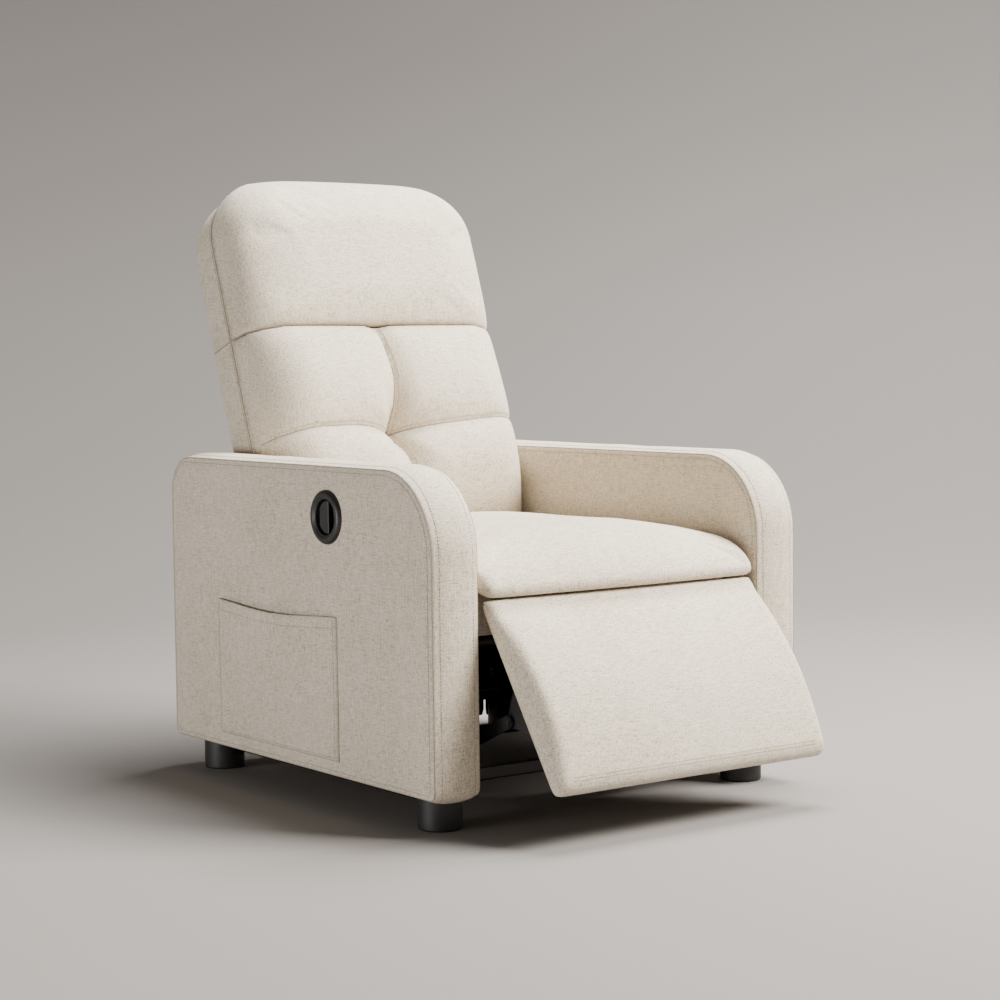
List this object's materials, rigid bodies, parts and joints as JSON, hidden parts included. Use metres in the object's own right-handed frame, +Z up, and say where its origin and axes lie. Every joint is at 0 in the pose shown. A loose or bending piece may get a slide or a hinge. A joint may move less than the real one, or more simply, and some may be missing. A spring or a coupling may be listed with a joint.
{
  "type": "recliner armchair",
  "caption": "Upholstered push-back recliner armchair with padded arms, tufted back and headrest, hinged footrest, pull handle and side pocket.",
  "frame": {"origin": "middle of the chair's footprint, on the floor", "axes": "+Z up; the sitter faces -Y, with the sitter's left towards +X; footrest part open and back upright at rest"},
  "size_m": [0.7293, 1.0613, 1.0277],
  "materials": {
    "upholstery": "matte",
    "frame_wood": "matte",
    "black_plastic": "satin",
    "black_steel": "satin",
    "bare_steel": "satin"
  },
  "bodies": {
    "base": {"arm_cover_left": "upholstery", "arm_cover_right": "upholstery", "arm_frame_left": "frame_wood", "arm_frame_right": "frame_wood", "foot_front_left": "black_plastic", "foot_front_right": "black_plastic", "foot_rear_left": "black_plastic", "foot_rear_right": "black_plastic", "side_pocket": "upholstery", "handle_bezel": "black_plastic", "paddle_pin": "bare_steel", "release_cable": "black_plastic", "base_plate_left": "black_steel", "base_plate_right": "black_steel", "arm_bolt_front_left": "bare_steel", "arm_bolt_front_right": "bare_steel", "arm_bolt_rear_left": "bare_steel", "arm_bolt_rear_right": "bare_steel", "base_rail_front": "black_steel", "base_rail_rear": "black_steel"},
    "release_paddle": {"handle_paddle": "black_plastic"},
    "latch": {"latch_pawl": "bare_steel"},
    "front_swing": {"front_swing_link_left": "black_steel", "front_swing_link_right": "black_steel", "front_swing_tube": "black_steel"},
    "rear_swing": {"rear_swing_link_left": "black_steel", "rear_swing_link_right": "black_steel", "rear_swing_tube": "black_steel"},
    "seat": {"seat_frame": "frame_wood", "seat_plate_left": "black_steel", "seat_plate_right": "black_steel", "seat_border": "upholstery", "seat_spring_1": "bare_steel", "seat_spring_2": "bare_steel", "seat_spring_3": "bare_steel", "seat_spring_4": "bare_steel", "seat_cushion": "upholstery", "footrest_hinge_arm_left": "black_steel", "footrest_hinge_arm_right": "black_steel"},
    "backrest": {"back_shell": "upholstery", "back_frame": "frame_wood", "back_bracket_left": "black_steel", "back_bracket_right": "black_steel", "lumbar_cushion": "upholstery", "headrest_cushion": "upholstery"},
    "footrest": {"footrest_pad": "upholstery", "footrest_board": "frame_wood", "footrest_bracket_left": "black_steel", "footrest_bracket_right": "black_steel"},
    "drive_links": {"drive_link_left": "black_steel", "drive_link_right": "black_steel", "drive_tube": "black_steel"},
    "lift_links": {"lift_link_left": "black_steel", "lift_link_right": "black_steel"}
  },
  "joints": [
    {"name": "front_swing_tilt", "type": "hinge", "parent": "base", "child": "front_swing", "pos_m": [0, -0.2115, 0.13], "axis": [1, 0, 0], "range_deg": [0, 17.5]},
    {"name": "rear_swing_tilt", "type": "hinge", "parent": "base", "child": "rear_swing", "pos_m": [0, 0.1085, 0.13], "axis": [1, 0, 0], "range_deg": [0, 17.5]},
    {"name": "seat_level", "type": "hinge", "parent": "front_swing", "child": "seat", "pos_m": [0, -0.17388, 0.23337], "axis": [-1, 0, 0], "range_deg": [0, 17.5]},
    {"name": "back_recline", "type": "hinge", "parent": "seat", "child": "backrest", "pos_m": [0, 0.2565, 0.305], "axis": [-1, 0, 0], "range_deg": [0, 35]},
    {"name": "footrest_open", "type": "hinge", "parent": "seat", "child": "footrest", "pos_m": [0, -0.3555, 0.325], "axis": [-1, 0, 0], "range_deg": [-33, 54]},
    {"name": "drive_link_turn", "type": "hinge", "parent": "seat", "child": "drive_links", "pos_m": [0, -0.2255, 0.265], "axis": [-1, 0, 0], "range_deg": [-33, 54]},
    {"name": "lift_link_turn", "type": "hinge", "parent": "drive_links", "child": "lift_links", "pos_m": [0, -0.25659, 0.1057], "axis": [1, 0, 0], "range_deg": [-33, 54]},
    {"name": "paddle_pull", "type": "hinge", "parent": "base", "child": "release_paddle", "pos_m": [-0.355, -0.0575, 0.458], "axis": [0, 0, -1], "range_deg": [0, 25], "stiffness_Nm_per_rad": 0.6},
    {"name": "latch_turn", "type": "hinge", "parent": "base", "child": "latch", "pos_m": [-0.2657, -0.1265, 0.14], "axis": [-1, 0, 0], "range_deg": [0, 10]}
  ],
  "couplings": [
    {"joint": "front_swing_tilt", "follows": "back_recline", "ratio": 0.5},
    {"joint": "rear_swing_tilt", "follows": "back_recline", "ratio": 0.5},
    {"joint": "seat_level", "follows": "back_recline", "ratio": 0.5},
    {"joint": "drive_link_turn", "follows": "footrest_open", "ratio": 1},
    {"joint": "lift_link_turn", "follows": "footrest_open", "ratio": 1},
    {"joint": "latch_turn", "follows": "paddle_pull", "ratio": 0.4}
  ]
}
